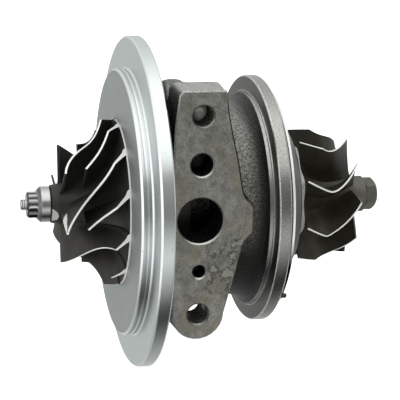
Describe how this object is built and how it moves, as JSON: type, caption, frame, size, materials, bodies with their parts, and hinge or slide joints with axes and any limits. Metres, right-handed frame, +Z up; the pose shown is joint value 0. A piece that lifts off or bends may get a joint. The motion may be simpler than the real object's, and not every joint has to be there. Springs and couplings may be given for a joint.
{
  "type": "turbocharger cartridge",
  "caption": "Turbocharger core: cast bearing housing with an oil pad, floating shaft bearings, turned end plate, heat shield, and bladed compressor and turbine wheels on one shaft.",
  "frame": {"origin": "on the shaft axis, in the plane of the end plate's seat face, at the base of the compressor spigot", "axes": "+X along the shaft from the compressor to the turbine, -Y out of the oil pad, +Z up along the pad's line of holes"},
  "size_m": [0.1264, 0.1132, 0.1132],
  "materials": {
    "housing_iron": "raw casting with machined faces",
    "plate_aluminium": "bright turned",
    "bolt_steel": "oiled",
    "ring_rubber": "matte",
    "bearing_bronze": "fine turned",
    "ground_steel": "ground",
    "spring_steel": "oiled",
    "shield_steel": "pressed sheet, darkened by heat",
    "turbine_alloy": "cast and blasted, ground tips",
    "compressor_alloy": "blasted, turned tips",
    "nut_steel": "bright turned"
  },
  "bodies": {
    "housing": {"bearing_housing": "housing_iron", "compressor_end_plate": "plate_aluminium", "plate_bolts": "bolt_steel", "plate_o_ring": "ring_rubber", "thrust_bearing": "bearing_bronze", "oil_deflector": "shield_steel", "compressor_seal_ring": "spring_steel", "bearing_circlips": "spring_steel", "turbine_seal_ring": "spring_steel", "heat_shield": "shield_steel", "flange_pin": "bolt_steel"},
    "rotor": {"rotor_shaft": "ground_steel", "turbine_wheel": "turbine_alloy", "compressor_wheel": "compressor_alloy", "shaft_nut": "nut_steel", "oil_flinger": "ground_steel", "thrust_collar": "ground_steel", "thrust_washer": "ground_steel"},
    "compressor_bearing": {"compressor_journal_bearing": "bearing_bronze"},
    "turbine_bearing": {"turbine_journal_bearing": "bearing_bronze"}
  },
  "joints": [
    {"name": "rotor_spin", "type": "hinge", "parent": "housing", "child": "rotor", "pos_m": [0.03, 0, 0], "axis": [1, 0, 0], "continuous": true},
    {"name": "compressor_bearing_float", "type": "hinge", "parent": "housing", "child": "compressor_bearing", "pos_m": [0.0208, 0, 0], "axis": [1, 0, 0], "continuous": true},
    {"name": "turbine_bearing_float", "type": "hinge", "parent": "housing", "child": "turbine_bearing", "pos_m": [0.0395, 0, 0], "axis": [1, 0, 0], "continuous": true}
  ]
}
